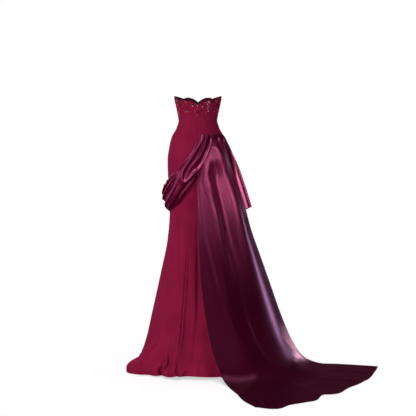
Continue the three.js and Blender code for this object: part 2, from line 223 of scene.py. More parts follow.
def smooth_through(keys, values, x):
    """A smooth curve through the rising keys' values that never overshoots them."""
    slopes = np.diff(values) / np.diff(keys)
    before, after = slopes[:-1], slopes[1:]
    both = np.where(before + after == 0, 1, before + after)
    inner = np.where(before * after > 0, 2 * before * after / both, 0)
    tangents = np.concatenate((slopes[:1], inner, slopes[-1:]))
    i = np.clip(np.searchsorted(keys, x, side="right") - 1, 0, len(keys) - 2)
    h = keys[i + 1] - keys[i]
    t = np.clip((x - keys[i]) / h, 0, 1)
    return (
        (2 * t**3 - 3 * t**2 + 1) * values[i]
        + (t**3 - 2 * t**2 + t) * h * tangents[i]
        + (3 * t**2 - 2 * t**3) * values[i + 1]
        + (t**3 - t**2) * h * tangents[i + 1]
    )


def row_at(rows, place):
    """The table's columns at a place between its rows, which are counted from 0."""
    keys = np.arange(len(next(iter(rows.values()))), dtype=float)
    return {name: smooth_through(keys, column, place) for name, column in rows.items()}


def section_size(column, z):
    return smooth_through(SECTIONS["z"][::-1], SECTIONS[column][::-1], z)


def half_sizes(to_right, to_front, z):
    """The section's half width and depth on the sides that a direction points to."""
    side = np.where(to_right > 0, section_size("right", z), section_size("left", z))
    return side, np.where(to_front > 0, section_size("front", z), section_size("back", z))


def skirt_fold(angle, z):
    height = 0
    for at, spread, high, begins in zip(*SKIRT_FOLDS.values()):
        height = height + high * ease(begins - z, 0, begins - FLOOR) * bell(turn_between(angle, at), spread)
    broken = ease(FLOOR + RIPPLE_HEIGHT - z, 0, RIPPLE_HEIGHT)
    for at, spread, high in zip(*HEM_RIPPLES.values()):
        height = height + high * broken * bell(turn_between(angle, at), spread)
    return height


def gown_point(angle, z, out=0.0):
    """The gown's outer surface at an angle and height, moved out by a distance square to it in plan."""
    c, s = np.cos(np.radians(angle)), np.sin(np.radians(angle))
    side, depth = half_sizes(c, s, z)
    away_x, away_y = c / side, s / depth
    length = np.hypot(away_x, away_y)
    x = side * c
    cup = BUST["depth"] * bell(np.abs(x) - BUST["apart"], BUST["wide"]) * bell(z - BUST["z"], BUST["tall"])
    y = depth * s + np.maximum(s, 0) * cup
    moved = out + skirt_fold(angle, z)
    return np.stack((x + away_x / length * moved, y + away_y / length * moved, z + 0 * x), -1)


def gown_axes(angle, z, out, step=0.3, drop=1.0):
    """Points on the gown with the directions along it, down it and out of it, from two points close by."""
    here = gown_point(angle, z, out)
    along = unit(gown_point(angle + step, z, out) - here)
    outward = unit(np.cross(gown_point(angle, z - drop, out) - here, along))
    return here, along, np.cross(along, outward), outward


def neckline_height(angle):
    place = angle % 360
    i = np.searchsorted(SCALLOPS["start"], place, side="right") - 1
    start, end, from_z, to_z, rise = (column[i] for column in SCALLOPS.values())
    t = (place - start) / (end - start)
    return lerp(from_z, to_z, t) + rise * np.abs(np.sin(math.pi * t)) ** SCALLOP_ROUNDNESS


def gore_height(angle, level):
    """Height of a gore's point, whose level runs evenly from the neckline to the lifted hem."""
    lifted = HEM_LIFT["height"] * bell(turn_between(angle, HEM_LIFT["angle"]), HEM_LIFT["spread"])
    share = ease(HEM_LIFT["begins"] - level, 0, HEM_LIFT["begins"] - FLOOR)
    low = np.maximum(level, FLOOR + CREPE) + lifted * share
    squeeze = (level - FIXED_BELOW) / (NECK_TOP - FIXED_BELOW)
    return np.where(level <= FIXED_BELOW, low, lerp(FIXED_BELOW, neckline_height(angle), squeeze))


def seam_angle(seam, level):
    top, low = seam
    return lerp(low, top, ease(level, *SEAM_BEND))


def swag_frame(place, across):
    """Angle, height and clearance of the swag's bed at a place along it and a share across it."""
    course = row_at(SWAG_COURSE, place)
    angle = lerp(course["up_angle"], course["low_angle"], across)
    z = lerp(course["up_z"], course["low_z"], across)
    out = lerp(course["up_out"], course["low_out"], across) + course["lift"] * 4 * across * (1 - across)
    return angle, z, out


def folds_at(folds, across):
    """Height of a table's folds at a place."""
    return sum(h * bell(across - a, w) for a, w, h in zip(folds["at"], folds["wide"], folds["high"]))


def train_level(u, v):
    """The train's row at two shares. The last row of its table is only reached by the waves of its edge."""
    last = len(TRAIN_LEVELS["z"]) - 2
    wave = ease(v, 0.8, 1) * folds_at(TRAIN_EDGE, u)
    level = row_at(TRAIN_LEVELS, v * last + wave)
    return {**level, "left_z": level["z"], "right_z": level["z"]}


def cascade_level(u, v):
    return row_at(CASCADE_LEVELS, v * (len(CASCADE_LEVELS["fold"]) - 1))


def level_point(level, u):
    """A point on a section at a share of the way from its left end, seen from outside."""
    left, right = (
        np.stack((level[side + "x"], level[side + "y"], np.maximum(level[side + "z"], FLOOR + SATIN)), -1)
        for side in ("left_", "right_")
    )
    along = right - left
    outward = np.stack((along[..., 1], -along[..., 0], 0 * along[..., 0]), -1)
    outward /= np.linalg.norm(outward, axis=-1, keepdims=True)
    middle = (left + right) / 2 + outward * (2 * level["bulge"])[..., None]
    t = u[..., None]
    return (1 - t) ** 2 * left + 2 * t * (1 - t) * middle + t**2 * right


# ---------------- creases
# Each row is a crease: its half widths on the left and right of its line, its lean, and its points as two
# places on the surface and a height. Left and right are seen along the line from its start, from outside.

CREASE_STEPS = 24  # from one point to the next
CREASE_REACH = 2.6  # half widths after which a crease is too low to matter

# Skirt and bodice: angle, height above the waist, height of the crease.
GOWN_CREASES = [
    # both sides of the back seam, and the seam's own line
    (26, 5, 0, (246.3, -470, 0), (247.5, -620, 4), (247.4, -800, 7), (247, -1000, 8), (245, -1200, 5)),
    (4, 9, 0, (253.2, -520, 0), (253.2, -700, 3), (252.9, -900, 4), (252.6, -1050, 4), (251, -1210, 1)),
    (3, 3, 0, (250.5, -520, 0), (250.6, -640, -3), (250.6, -900, -5), (250.4, -1080, -5), (250, -1230, 0)),
    (6, 3.5, 0, (221, -430, 0), (222, -470, -5), (226, -570, -5), (233, -693, -4), (236, -800, 0)),
    (4, 18, 0.3, (224, -430, 2), (225.6, -480, 5), (229.6, -570, 6), (236.4, -693, 5), (240, -830, 0)),
    (26, 22, 0, (208, -450, 0), (212, -600, 4), (217, -760, 3), (219, -900, 0)),
    (8, 9, 0.45, (234, -1080, 0), (235, -1169, 8), (236.5, -1205, 12), (239.5, -1255, 15), (242, -1288, 14)),
    (9, 7, 0, (230, -1180, 0), (233.5, -1225, -7), (236.5, -1262, -15), (237.5, -1288, -17)),
    (7, 8, 0, (241, -1150, 0), (243.2, -1215, -6), (246, -1260, -12), (247, -1288, -13)),
    (12, 8, 0, (222, -1090, 0), (219, -1136, -5), (209, -1170, -9), (201, -1200, -9), (194.9, -1244, -5)),
    (14, 6, 0.4, (192, -1226, 3), (200, -1240, 9), (209, -1246, 11), (214, -1252, 10), (219, -1288, 5)),
    (8, 10, 0.5, (246.5, -1150, 0), (247.5, -1205, 6), (249.5, -1245, 12), (251.5, -1270, 14),
     (253.5, -1288, 12)),
    (5, 8, 0.3, (261, -1240, 0), (258.5, -1248, 6), (256.8, -1262, 8), (256, -1284, 6)),
    (30, 26, 0, (196, -560, 0), (198, -720, 5), (201, -900, 6), (206, -1060, 3)),
    (24, 20, 0, (186, -640, 0), (188, -800, -5), (192, -980, -6), (196, -1100, -3)),
    (28, 12, 0, (270, -450, 0), (270.5, -700, -7), (270, -900, -9), (268, -1060, -8), (265, -1200, -2)),
    (7, 10, 0.2, (272, -1160, 0), (270.5, -1215, 3), (269, -1276, 5)),
    (22, 20, 0, (278, -600, 0), (282, -800, 5), (286, -1000, 7), (289, -1200, 9), (290, -1285, 8)),
    (15, 18, 0, (296, -700, 0), (300, -900, -6), (304, -1100, -9), (306, -1285, -8)),
    (14, 11, 0.2, (311, -760, 0), (316, -960, 5), (320, -1140, 9), (323, -1285, 12)),
    (12, 12, 0, (330, -900, 0), (334, -1080, -6), (337, -1285, -9)),
    (20, 15, 0, (338, -560, 0), (342, -760, 5), (346, -980, 7), (349, -1180, 7)),
    (14, 18, 0, (3, -620, 0), (6, -800, 5), (9, -1000, 8), (11, -1180, 8), (10, -1285, 10)),
    (15, 10, 0, (18, -700, 0), (21, -900, -6), (25, -1100, -9), (27, -1285, -8)),
    (16, 12, 0.2, (30, -520, 0), (35, -720, 5), (40, -940, 8), (43, -1130, 9), (45, -1285, 11)),
    (9, 14, 0, (51, -820, 0), (54, -1000, -5), (57, -1180, -8), (59, -1285, -8)),
    (20, 14, 0, (62, -560, 0), (65, -760, 5), (68, -980, 7), (70, -1160, 8), (74, -1285, 9)),
    (12, 15, 0, (82, -760, 0), (83, -960, -5), (86, -1150, -7), (88, -1285, -7)),
    (13, 19, 0.2, (92, -480, 0), (96, -700, 5), (99, -920, 8), (98, -1120, 8), (101, -1285, 11)),
    (12, 12, 0, (110, -900, 0), (112, -1080, -6), (115, -1285, -9)),
    (22, 16, 0, (119, -640, 0), (123, -820, 5), (126, -1020, 8), (126, -1285, 9)),
    (13, 16, 0, (139, -700, 0), (138, -900, -6), (136, -1100, -8), (137, -1285, -7)),
    (15, 20, 0.2, (149, -560, 0), (150, -760, 5), (149, -980, 8), (150, -1180, 9), (147, -1285, 11)),
    (16, 13, 0, (164, -740, 0), (164, -940, -5), (161, -1130, -8), (163, -1285, -8)),
    (18, 24, 0, (172, -600, 0), (174, -800, 5), (176, -1020, 7), (176, -1200, 7)),
    # the hips and the waist
    (14, 10, 0, (214, -24, 0), (232, -30, 0.7), (252, -26, 0.5), (262, -24, 0)),
    (9, 12, 0, (318, -20, 0), (338, -27, 0.9), (4, -22, 1.1), (24, -25, 0.6), (36, -30, 0)),
    (10, 8, 0, (58, -34, 0), (76, -27, 1.1), (96, -24, 0.9), (112, -30, 0)),
    (12, 9, 0, (126, -20, 0), (148, -27, 1.1), (168, -25, 0.9), (186, -29, 0)),
    (12, 14, 0, (64, 28, 0), (78, 18, 0.9), (92, 14, 0)),
    (13, 10, 0, (118, 30, 0), (108, 20, 1), (98, 13, 0)),
]

# Swag: rows of its course from the back of the right waist, share across from its upper edge, height.
SWAG_CREASES = [
    (5, 7, 0, (-0.2, 0.05, 2), (0.8, 0.03, 4), (2.5, 0.02, 5), (4.5, 0.02, 5), (6.2, 0.03, 4),
     (7.4, 0.05, 5)),
    (7, 7, 0, (0.1, 0.14, -3), (0.9, 0.125, -6), (2.7, 0.11, -8), (4.1, 0.1, -8), (5.2, 0.14, -7),
     (6, 0.15, -3)),
    (5, 17, 0.45, (-0.2, 0.32, 4), (0.5, 0.276, 8), (1.5, 0.205, 10), (2.5, 0.19, 12), (3.6, 0.216, 13),
     (4.4, 0.251, 13), (5, 0.337, 12), (5.34, 0.467, 10), (5.48, 0.6, 7)),
    (13, 13, 0, (0.1, 0.42, -3), (0.8, 0.37, -8), (1.6, 0.35, -12), (2.6, 0.37, -14), (3.6, 0.365, -15),
     (4.3, 0.37, -14), (4.9, 0.43, -11), (5.2, 0.53, -6)),
    (12, 7, -0.35, (-0.2, 0.6, 6), (0.35, 0.55, 10), (1.2, 0.533, 13), (2.3, 0.6, 13), (3.1, 0.563, 13),
     (3.9, 0.513, 13), (4.6, 0.497, 12), (5.1, 0.543, 10), (5.42, 0.62, 7)),
    (9, 8, 0, (0.3, 0.76, -4), (0.9, 0.73, -8), (1.75, 0.714, -10), (2.7, 0.75, -10), (3.4, 0.81, -9),
     (3.9, 0.79, -5)),
    (8, 13, 0, (-0.1, 0.92, 4), (0.8, 0.95, 7), (1.9, 0.93, 11), (2.7, 0.9, 13), (3.5, 0.9, 13),
     (4.1, 0.885, 12), (4.4, 0.875, 8)),
    (4.5, 5, 0.3, (4.36, 0.87, 7), (4.24, 0.8, 9), (4.3, 0.752, 9), (4.6, 0.715, 8), (5, 0.695, 7),
     (5.4, 0.673, 5)),
    (4, 4, 0, (4.42, 0.83, -5), (4.6, 0.8, -7), (4.95, 0.755, -7), (5.3, 0.71, -6), (5.6, 0.7, -3)),
    (3.5, 30, 0.5, (4.3, 0.84, 3), (4.8, 0.785, 7), (5.3, 0.735, 9), (5.8, 0.715, 10), (6.4, 0.745, 11),
     (6.9, 0.8, 11), (7.4, 0.9, 10), (7.7, 0.97, 8)),
    (4, 5, 0, (5.2, 0.79, -3), (5.8, 0.775, -7), (6.4, 0.805, -8), (6.9, 0.87, -7), (7.3, 0.96, -5)),
    (9, 13, 0, (4.4, 0.96, 3), (5.1, 0.925, 6), (5.6, 0.915, 8), (6.1, 0.925, 8), (6.7, 0.95, 6)),
    (4, 14, 0.5, (5.6, 0.05, 0), (6.2, 0.085, 7), (7, 0.186, 9), (7.6, 0.31, 8), (8.1, 0.43, 7),
     (8.8, 0.53, 6)),
    (4, 13, 0.5, (5.1, 0.12, 0), (5.8, 0.196, 6), (6.8, 0.332, 9), (7.4, 0.46, 8), (8, 0.6, 7),
     (8.8, 0.68, 5)),
    (5, 12, 0.35, (5.2, 0.36, 0), (5.9, 0.49, 6), (6.4, 0.553, 8), (6.9, 0.63, 8), (7.6, 0.76, 7),
     (8.3, 0.86, 5)),
    (8, 6, 0, (6, 0.36, -2), (6.7, 0.46, -6), (7.3, 0.56, -5), (7.9, 0.7, -5), (8.6, 0.8, -3)),
    (7, 6, 0, (6.2, 0.14, -3), (7, 0.25, -6), (7.6, 0.38, -5), (8.2, 0.51, -5), (9, 0.6, -3)),
    (7, 6, 0, (6.4, 0.02, -1), (7.2, 0.09, -5), (7.8, 0.2, -5), (8.6, 0.33, -4), (9.4, 0.42, -3)),
    # round the front
    (14, 5, -0.4, (7.4, 0.13, 5), (8.3, 0.2, 8), (9.4, 0.25, 11), (10.6, 0.24, 12), (11.8, 0.27, 11),
     (13, 0.33, 8), (14.2, 0.36, 4)),
    (6, 6, 0, (8, 0.08, -4), (9.3, 0.14, -7), (10.8, 0.13, -8), (12.2, 0.16, -6), (13.4, 0.2, -3)),
    (5, 13, 0.4, (8.4, 0.62, 3), (9.2, 0.52, 9), (10.3, 0.46, 12), (11.4, 0.49, 13), (12.5, 0.52, 10),
     (13.6, 0.52, 5)),
    (9, 8, 0, (8.6, 0.44, -3), (9.6, 0.37, -9), (10.9, 0.36, -12), (12, 0.39, -10), (13.2, 0.42, -5)),
    (5, 12, 0.35, (8.2, 0.92, 5), (9.1, 0.8, 10), (10.2, 0.72, 12), (11.2, 0.71, 13), (12.3, 0.74, 11),
     (13.6, 0.72, 5)),
    (8, 8, 0, (8.8, 0.68, -4), (9.8, 0.6, -8), (11, 0.59, -10), (12, 0.63, -9), (13.2, 0.62, -4)),
    (8, 10, 0, (9, 0.97, 6), (10.2, 0.9, 9), (11.4, 0.89, 10), (12.6, 0.9, 9), (14, 0.88, 4)),
    (5, 5, 0, (9.4, 0.86, -4), (10.4, 0.81, -7), (11.6, 0.8, -7), (12.8, 0.82, -4)),
    (6, 5, 0, (7.8, 0.03, 5), (9.4, 0.03, 5), (11, 0.025, 5), (12.6, 0.03, 4), (14, 0.05, 2)),
]

# Train: share across from its left edge, share down from the waist, height.
TRAIN_CREASES = [
    (16, 46, 0, (0.06, 0, 3), (0.108, 0.062, 7), (0.36, 0.126, 10), (0.54, 0.185, 12), (0.65, 0.235, 12),
     (0.73, 0.3, 11), (0.79, 0.4, 9), (0.81, 0.5, 7), (0.8, 0.6, 5), (0.82, 0.68, 0)),
    (20, 16, 0, (0.2, 0.03, -2), (0.288, 0.075, -6), (0.742, 0.2, -9), (0.86, 0.266, -9), (0.9, 0.32, -7),
     (0.95, 0.4, 0)),
    (34, 36, 0, (0.68, 0.26, 0), (0.675, 0.325, 4), (0.69, 0.39, 5), (0.7, 0.48, 3), (0.7, 0.6, 0)),
    (26, 24, 0, (0.17, 0.17, 0), (0.15, 0.233, 6), (0.138, 0.28, 8), (0.2, 0.325, 9), (0.25, 0.37, 9),
     (0.253, 0.45, 7), (0.25, 0.5, 3), (0.25, 0.56, 0)),
    (26, 30, 0, (0.12, 0.12, 0), (0.16, 0.155, -5), (0.263, 0.2, -8), (0.4, 0.25, -9), (0.42, 0.3, -8),
     (0.43, 0.36, -6), (0.47, 0.45, -3), (0.5, 0.55, 0)),
    (12, 18, 0, (0.01, 0.29, 0), (0.05, 0.36, -4), (0.09, 0.42, -5), (0.13, 0.48, -5), (0.17, 0.56, -3),
     (0.2, 0.64, 0)),
    (9, 16, 0, (0.09, 0.37, 0), (0.113, 0.418, 2), (0.163, 0.475, 2.5), (0.175, 0.53, 2.5), (0.223, 0.6, 2),
     (0.263, 0.642, 0)),
    (14, 9, 0, (0.365, 0.44, 0), (0.374, 0.5, 2), (0.378, 0.542, 2.5), (0.355, 0.59, 2.5), (0.344, 0.64, 2),
     (0.346, 0.69, 0)),
    (8, 14, 0, (0.36, 0.57, 0), (0.372, 0.62, 2), (0.385, 0.66, 2), (0.411, 0.724, 0)),
    (16, 30, 0, (0.72, 0.64, 0), (0.78, 0.68, 7), (0.86, 0.71, 9), (0.93, 0.75, 7), (1, 0.79, 3)),
    (30, 40, 0, (0, 0.9, 4), (0.06, 0.85, 6), (0.13, 0.81, 6), (0.2, 0.77, 4), (0.26, 0.74, 0)),
    (34, 30, 0, (0.36, 0.8, 0), (0.38, 0.87, 4), (0.37, 0.94, 5), (0.36, 1, 4)),
    (30, 34, 0, (0.62, 0.8, 0), (0.65, 0.87, 4), (0.68, 0.94, 5), (0.7, 1, 3)),
    (22, 28, 0, (0.84, 0.82, 0), (0.86, 0.9, 4), (0.87, 1, 3)),
    # pleats held in the waist seam
    (3, 8, 0.3, (0.34, -0.005, 4), (0.36, 0.03, 4), (0.4, 0.075, 0)),
    (8, 3, -0.3, (0.62, -0.005, 4), (0.63, 0.03, 4.5), (0.68, 0.085, 2), (0.72, 0.12, 0)),
    (3, 9, 0.3, (0.82, -0.005, 4), (0.84, 0.04, 4), (0.88, 0.1, 0)),
]

# Side cascade: share across from its rear edge, share down from the waist, height.
CASCADE_CREASES = [
    (4, 5, 0.2, (0.035, 0.1, 0), (0.04, 0.35, 3), (0.05, 0.65, 4), (0.055, 1, 3)),
    (4, 3, 0, (0.085, 0.12, 0), (0.09, 0.4, -4), (0.1, 0.7, -5), (0.105, 1, -5)),
    (4, 6, 0.2, (0.12, 0, 2), (0.14, 0.3, 4), (0.155, 0.6, 5), (0.16, 1, 4)),
    (4, 4, 0, (0.2, 0.1, -2), (0.22, 0.45, -6), (0.225, 1, -6)),
    (9, 5, -0.2, (0.38, 0, 3), (0.41, 0.35, 5), (0.43, 0.7, 6), (0.42, 1, 6)),
    (6, 8, 0, (0.5, 0.1, -2), (0.49, 0.5, -5), (0.5, 1, -6)),
    (5, 10, 0.2, (0.62, 0, 3), (0.64, 0.4, 5), (0.66, 1, 6)),
    (9, 6, 0, (0.86, 0, 3), (0.85, 0.5, 4), (0.87, 1, 5)),
]


def crease_moves(grid, creases, place, normals=None):
    """How far the creases move each point of a grid. place() finds a point from two shares."""
    normals = (normals_of(grid) if normals is None else normals).reshape(-1, 3)
    points = grid.reshape(-1, 3)
    moves = np.zeros_like(points)
    for left, right, lean, *rows in creases:
        keys = np.arange(len(rows), dtype=float)
        t = np.linspace(0, keys[-1], CREASE_STEPS * (len(keys) - 1) + 1)
        first, second, high = (smooth_through(keys, column, t) for column in np.array(rows, float).T)
        line = place(first, second)
        reach = CREASE_REACH * max(left, right)
        near = ((points > line.min(0) - reach) & (points < line.max(0) + reach)).all(1)
        if not near.any():
            continue
        here, out = points[near], normals[near]
        nearest = ((line**2).sum(1) - 2 * here @ line.T).argmin(1)
        tangent = unit(np.gradient(line, axis=0))[nearest]
        offset = here - line[nearest]
        along = (offset * tangent).sum(1)
        inside = (nearest > 0) & (nearest < len(line) - 1)
        distance = np.sqrt(np.maximum((offset**2).sum(1) - np.where(inside, along**2, 0), 0))
        sideways = unit(np.cross(out, tangent))
        wide = np.where((offset * sideways).sum(1) > 0, left, right)
        height = high[nearest] * bell(distance, wide)
        moves[near] += height[:, None] * out + (lean * height)[:, None] * sideways
    return moves.reshape(grid.shape)


# ---------------- meshes


def normals_of(grid):
    """Outward directions of a grid that runs to the right and down, seen from outside."""
    return unit(np.cross(np.gradient(grid, axis=1), np.gradient(grid, axis=0)))


def edge_distances(grid):
    """Distance of each point from the grid's first and last line each way, along the surface."""
    across = np.cumsum(np.linalg.norm(np.diff(grid, axis=0, prepend=grid[:1]), axis=-1), axis=0)
    down = np.cumsum(np.linalg.norm(np.diff(grid, axis=1, prepend=grid[:, :1]), axis=-1), axis=1)
    return across, across[-1:] - across, down, down[:, -1:] - down


def new_object(name, points, faces):
    """A mesh object in the scene, from points in metres."""
    mesh = bpy.data.meshes.new(name)
    mesh.from_pydata(points, [], faces)
    made = bpy.data.objects.new(name, mesh)
    bpy.context.scene.collection.objects.link(made)
    return made


def add_piece(name, points, faces, materials, slot, material_index=None, sharp=50):
    piece = new_object(name, (points / 1000).tolist(), [list(f) for f in faces])
    mesh = piece.data
    mesh.polygons.foreach_set("use_smooth", [True] * len(mesh.polygons))
    if material_index is not None:
        mesh.polygons.foreach_set("material_index", material_index)
    mesh.set_sharp_from_angle(angle=math.radians(sharp))
    for m in materials:
        mesh.materials.append(m)
    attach(piece, "root")
    return piece


def ring_faces(rings, sides, closed=False):
    """Faces between rings of points, the last of which may meet the first."""
    faces = []
    for k in range(rings if closed else rings - 1):
        here, there = k * sides, (k + 1) % rings * sides
        for j in range(sides):
            after = (j + 1) % sides
            faces.append((here + j, here + after, there + after, there + j))
    return faces


def end_faces(rings, sides):
    return [tuple(range(sides))[::-1], tuple(range((rings - 1) * sides, rings * sides))]


def tube(path, radius, sides, closed=False, steep=0.9):
    """Points and faces of a round tube along a path. Each ring starts level with its middle, or in the plane
    of y and z where the path rises by more than the share steep of its length."""
    if closed:
        tangent = unit(np.roll(path, -1, axis=0) - np.roll(path, 1, axis=0))
    else:
        tangent = unit(np.gradient(path, axis=0))
    up = np.where(np.abs(tangent[:, 2:]) < steep, [0, 0, 1], [1, 0, 0])
    first = unit(np.cross(tangent, up))
    second = np.cross(tangent, first)
    turn = np.linspace(0, 2 * math.pi, sides, endpoint=False)[None, :, None]
    rings = path[:, None] + radius * (first[:, None] * np.cos(turn) + second[:, None] * np.sin(turn))
    ends = [] if closed else end_faces(len(path), sides)
    return rings.reshape(-1, 3), ring_faces(len(path), sides, closed) + ends


# ---------------- materials


def principled(name, **sockets):
    """A new material and its shader, with these sockets set."""
    made = bpy.data.materials.new(name)
    made.use_nodes = True
    shader = made.node_tree.nodes["Principled BSDF"]
    for socket, value in sockets.items():
        shader.inputs[socket.replace("_", " ")].default_value = value
    return made, shader


def colour_from(made, shader, colours, source, ends=(0, 1)):
    """Colours the shader from one colour to another as a source runs between two ends."""
    ramp = made.node_tree.nodes.new("ShaderNodeValToRGB")
    for element, colour, end in zip(ramp.color_ramp.elements, colours, ends):
        element.color = (*colour, 1)
        element.position = end
    made.node_tree.links.new(source, ramp.inputs["Fac"])
    made.node_tree.links.new(ramp.outputs["Color"], shader.inputs["Base Color"])


FINE_SHARE = 0.35  # of a cloth's change of colour: the rest is in soft patches


def material(name, colours, roughness, patches, grain, bump, **sockets):
    """Cloth: two close colours in soft patches, and a fine grain that raises the surface."""
    made, shader = principled(name, Roughness=roughness, **sockets)
    nodes, links = made.node_tree.nodes, made.node_tree.links
    where = nodes.new("ShaderNodeTexCoord").outputs["Object"]

    def noise(scale, detail, stretch=(1, 1, 1)):
        mapping = nodes.new("ShaderNodeMapping")
        mapping.inputs["Scale"].default_value = stretch
        links.new(where, mapping.inputs["Vector"])
        texture = nodes.new("ShaderNodeTexNoise")
        texture.inputs["Scale"].default_value = scale
        texture.inputs["Detail"].default_value = detail
        links.new(mapping.outputs["Vector"], texture.inputs["Vector"])
        return texture.outputs["Fac"]

    fine = noise(*grain)
    mix = nodes.new("ShaderNodeMix")
    mix.inputs["Factor"].default_value = FINE_SHARE
    links.new(noise(patches, 3), mix.inputs["A"])
    links.new(fine, mix.inputs["B"])
    colour_from(made, shader, colours, mix.outputs["Result"], (0.36, 0.64))
    raised = nodes.new("ShaderNodeBump")
    raised.inputs["Strength"].default_value, raised.inputs["Distance"].default_value = bump
    links.new(fine, raised.inputs["Height"])
    links.new(raised.outputs["Normal"], shader.inputs["Normal"])
    return made


crepe = material(
    "crepe", [(0.212, 0.0058, 0.04), (0.26, 0.0084, 0.05)], 0.66, 9, (1500, 4), (0.35, 0.0004),
    Sheen_Weight=0.26, Sheen_Roughness=0.35, Sheen_Tint=(1, 0.2, 0.42, 1), Specular_IOR_Level=0.06,
)
satin = material(
    "satin", [(0.06, 0.0006, 0.0134), (0.078, 0.001, 0.0185)], 0.35, 7, (1900, 3, (1, 1, 0.25)),
    (0.12, 0.0002), Specular_IOR_Level=1.0, Specular_Tint=(1, 0.24, 0.48, 1),
    Sheen_Weight=0.02, Sheen_Roughness=0.3, Sheen_Tint=(0.85, 0.3, 0.6, 1),
)
lining = material(
    "lining", [(0.12, 0.004, 0.022), (0.15, 0.006, 0.03)], 0.42, 12, (1700, 3), (0.12, 0.0002),
    Specular_IOR_Level=0.4, Specular_Tint=(1, 0.6, 0.75, 1),
)
binding = material(
    "binding", [(0.035, 0.002, 0.018), (0.06, 0.003, 0.03)], 0.4, 60, (2600, 2), (0.3, 0.0003),
    Specular_IOR_Level=0.5, Specular_Tint=(0.9, 0.6, 1, 1),
)
tape = material(
    "zip_tape", [(0.09, 0.003, 0.018), (0.12, 0.004, 0.024)], 0.75, 40, (3000, 2, (1, 1, 0.3)), (0.5, 0.0004),
)


def glassy(name, colours, roughness, metallic, tint):
    """Beads and crystals: the colour changes from one bead to the next."""
    made, shader = principled(
        name, Roughness=roughness, Metallic=metallic, Specular_IOR_Level=1, Specular_Tint=(*tint, 1),
        Coat_Weight=0.6, Coat_Roughness=0.08,
    )
    cells = made.node_tree.nodes.new("ShaderNodeTexVoronoi")
    cells.inputs["Scale"].default_value = 240
    where = made.node_tree.nodes.new("ShaderNodeTexCoord")
    made.node_tree.links.new(where.outputs["Object"], cells.inputs["Vector"])
    colour_from(made, shader, colours, cells.outputs["Distance"])
    return made


plum_glass = glassy("plum_glass", [(0.02, 0.001, 0.012), (0.09, 0.006, 0.06)], 0.15, 0.2, (0.9, 0.7, 1))
rose_glass = glassy("rose_glass", [(0.55, 0.2, 0.34), (0.85, 0.52, 0.66)], 0.16, 0.15, (1, 0.85, 0.95))
ruby_glass = glassy("ruby_glass", [(0.42, 0.004, 0.015), (0.78, 0.03, 0.05)], 0.12, 0.2, (1, 0.6, 0.65))

# ---------------- the gown's own pieces


def clustered(count, near=(0.004, 0.009, 0.016, 0.027, 0.042)):
    """Shares from 0 to 1 with more of them close to both ends, where seams and hems are."""
    middle = np.linspace(near[-1], 1 - near[-1], count)
    start = np.array((0, *near[:-1]))
    return np.concatenate((start, middle, 1 - start[::-1]))


ROWS = ((NECK_TOP, FIXED_BELOW, 24), (48, -100, 40), (-105, -1140, 130), (-1146, FLOOR, 48))
LEVELS = np.concatenate([np.linspace(*rows) for rows in ROWS])
SEAM_GAP = 0.05
# Furrows and ridges along seams and hems, each at a distance from the edge.
SEAM_MARKS = table("at wide high", (0, 1.1, -0.9), (6, 3, 0.25))
HEM_MARKS = table("at wide high", (26, 1.5, -0.35))
WAIST_MARKS = table("at wide high", (0, 1.2, -0.9))
SATIN_HEM_MARKS = table("at wide high", (10, 1.3, -0.5), (5, 3.5, 0.5), (0, 2, -1.5))
SWAG_HEM_MARKS = table("at wide high", (9, 1.2, -0.5))
WAIST_SEAM = -62.5
WAIST_SEAM_ENDS = (272, 447)  # the swag's two ends, past the right side


def sheet(solid, outer, thickness, cloth, slot, normals=None):
    """A closed, lined sheet in place of a solid: its outer points, the same moved in, and its four rims."""
    inner = outer - (normals_of(outer) if normals is None else normals) * thickness
    inner[..., 2] = np.maximum(inner[..., 2], FLOOR)
    o, i = np.arange(2 * outer[..., 0].size).reshape(2, *outer.shape[:2])

    def quads(a, b, c, d):
        return np.stack((a, b, c, d), -1).reshape(-1, 4)

    groups = [
        quads(o[:-1, :-1], o[:-1, 1:], o[1:, 1:], o[1:, :-1]),
        quads(o[:-1, 0], o[1:, 0], i[1:, 0], i[:-1, 0]),
        quads(o[1:, -1], o[:-1, -1], i[:-1, -1], i[1:, -1]),
        quads(o[0, 1:], o[0, :-1], i[0, :-1], i[0, 1:]),
        quads(o[-1, :-1], o[-1, 1:], i[-1, 1:], i[-1, :-1]),
        quads(i[:-1, :-1], i[1:, :-1], i[1:, 1:], i[:-1, 1:]),
    ]
    faces = np.concatenate(groups)
    is_lining = np.arange(len(faces)) >= len(faces) - len(groups[-1])
    points = np.concatenate((outer.reshape(-1, 3), inner.reshape(-1, 3)))
    piece = add_piece(solid + "_cloth", points, faces, [cloth, lining], slot, is_lining.astype(int))
    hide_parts(solid)
    return piece


def gore(name, first, second, count):
    u, level = np.meshgrid(clustered(count), LEVELS, indexing="ij")
    gap = np.degrees(SEAM_GAP / section_size("left", level))
    angle = lerp(seam_angle(first, level) + gap, seam_angle(second, level) - gap, u)
    grid = gown_point(angle, gore_height(angle, level))
    normals = gown_axes(angle, grid[..., 2], 0)[-1]
    left, right, _, low = edge_distances(grid)
    held = (angle > WAIST_SEAM_ENDS[0]) | (angle < WAIST_SEAM_ENDS[1] - 360)
    height = folds_at(SEAM_MARKS, np.minimum(left, right))
    height += folds_at(WAIST_MARKS, grid[..., 2] - WAIST_SEAM) * held
    height += folds_at(HEM_MARKS, low)
    moved = grid + normals * height[..., None] + crease_moves(grid, GOWN_CREASES, gown_point, normals)
    moved[..., 2] = np.maximum(moved[..., 2], FLOOR + CREPE)
    return sheet(name, moved, CREPE * SHEET_SHARE, crepe, "crepe", normals)


gores = {
    name: gore(name, *seams, count) for (name, count), *seams in zip(GORES.items(), SEAMS, SEAMS[1:])
}


def swag_point(place, across):
    return gown_point(*swag_frame(place, across))


